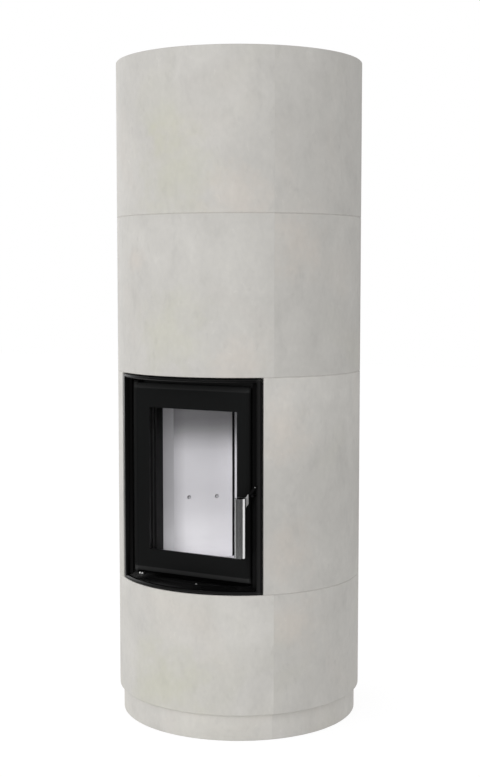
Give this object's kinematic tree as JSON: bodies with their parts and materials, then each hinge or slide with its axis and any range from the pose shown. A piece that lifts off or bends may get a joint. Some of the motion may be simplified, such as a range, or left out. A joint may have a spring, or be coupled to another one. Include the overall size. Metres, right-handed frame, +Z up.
{
  "type": "tiled stove",
  "caption": "Tall round tiled stove: curved ceramic tiles on a recessed plinth, flat glazed door with a steel lever handle in a curved black surround, slanted firebrick chamber.",
  "frame": {"origin": "centre of the plinth's underside, on the floor and on the column's axis", "axes": "+Z up the column's axis; -Y out of the middle of the door, towards the user; +X to the user's right"},
  "size_m": [0.6998, 0.6999, 1.858],
  "materials": {
    "ceramic": "matt glazed ceramic, warm grey with cloudy mottling",
    "fireclay": "pale fireclay, dry",
    "heat_store": "cast heat-storage concrete",
    "black_steel": "satin black heat-proof paint",
    "door_black": "satin black heat-proof paint",
    "gloss_black": "gloss black enamel",
    "knob_black": "satin black heat-proof paint",
    "galvanised_steel": "galvanised sheet steel",
    "bright_steel": "turned and stamped bright steel",
    "brushed_steel": "brushed stainless steel",
    "cast_iron": "cast iron, as cast",
    "glass": "clear fire-proof glass ceramic",
    "seal_cord": "woven glass-fibre seal, dark"
  },
  "bodies": {
    "stove": {"plinth_front": "ceramic", "plinth_right": "ceramic", "plinth_back": "ceramic", "plinth_left": "ceramic", "base_tile_front": "ceramic", "base_tile_right": "ceramic", "base_tile_back": "ceramic", "base_tile_left": "ceramic", "middle_tile_front": "ceramic", "middle_tile_right": "ceramic", "middle_tile_back": "ceramic", "middle_tile_left": "ceramic", "top_tile_front": "ceramic", "top_tile_right": "ceramic", "top_tile_back": "ceramic", "top_tile_left": "ceramic", "door_tile_right": "ceramic", "door_tile_back": "ceramic", "door_tile_left": "ceramic", "top_cover": "ceramic", "cover_brackets": "galvanised_steel", "insert_stand": "galvanised_steel", "levelling_feet": "galvanised_steel", "storage_posts": "galvanised_steel", "storage_carrier": "galvanised_steel", "storage_rings": "heat_store", "flue_collar": "cast_iron", "smoke_pipe": "black_steel", "air_intake_pipe": "galvanised_steel", "air_box": "black_steel", "firebox_shell": "black_steel", "firebox_front": "black_steel", "side_brick_left": "fireclay", "side_brick_right": "fireclay", "back_brick_left": "fireclay", "back_brick_right": "fireclay", "back_channel": "cast_iron", "floor_brick": "fireclay", "grate": "cast_iron", "ash_pan": "black_steel", "baffle_plate": "fireclay", "surround_frame": "black_steel", "soffit_plate": "black_steel", "sill": "gloss_black", "sill_stud": "bright_steel", "latch_pin": "black_steel", "hinge_brackets": "black_steel", "hinge_pins": "bright_steel"},
    "door": {"door_leaf": "door_black", "door_glass": "glass", "glass_tape": "seal_cord", "glass_retainer": "black_steel", "retainer_screws": "bright_steel", "door_gasket": "seal_cord", "handle_pivot": "bright_steel"},
    "handle": {"handle_grip": "brushed_steel", "handle_lever": "bright_steel", "latch_hook": "black_steel"},
    "air_control": {"air_shutter": "black_steel", "air_knob": "knob_black"}
  },
  "joints": [
    {"name": "door_hinge", "type": "hinge", "parent": "stove", "child": "door", "pos_m": [-0.18085, -0.26203, 0.6955], "axis": [0, 0, -1], "range_deg": [0, 105]},
    {"name": "handle_turn", "type": "hinge", "parent": "door", "child": "handle", "pos_m": [0.16536, -0.28403, 0.655], "axis": [0, -1, 0], "range_deg": [0, 35]},
    {"name": "air_slide", "type": "slide", "parent": "stove", "child": "air_control", "axis": [1, 0, 0], "range_m": [-0.018, 0.032]}
  ]
}
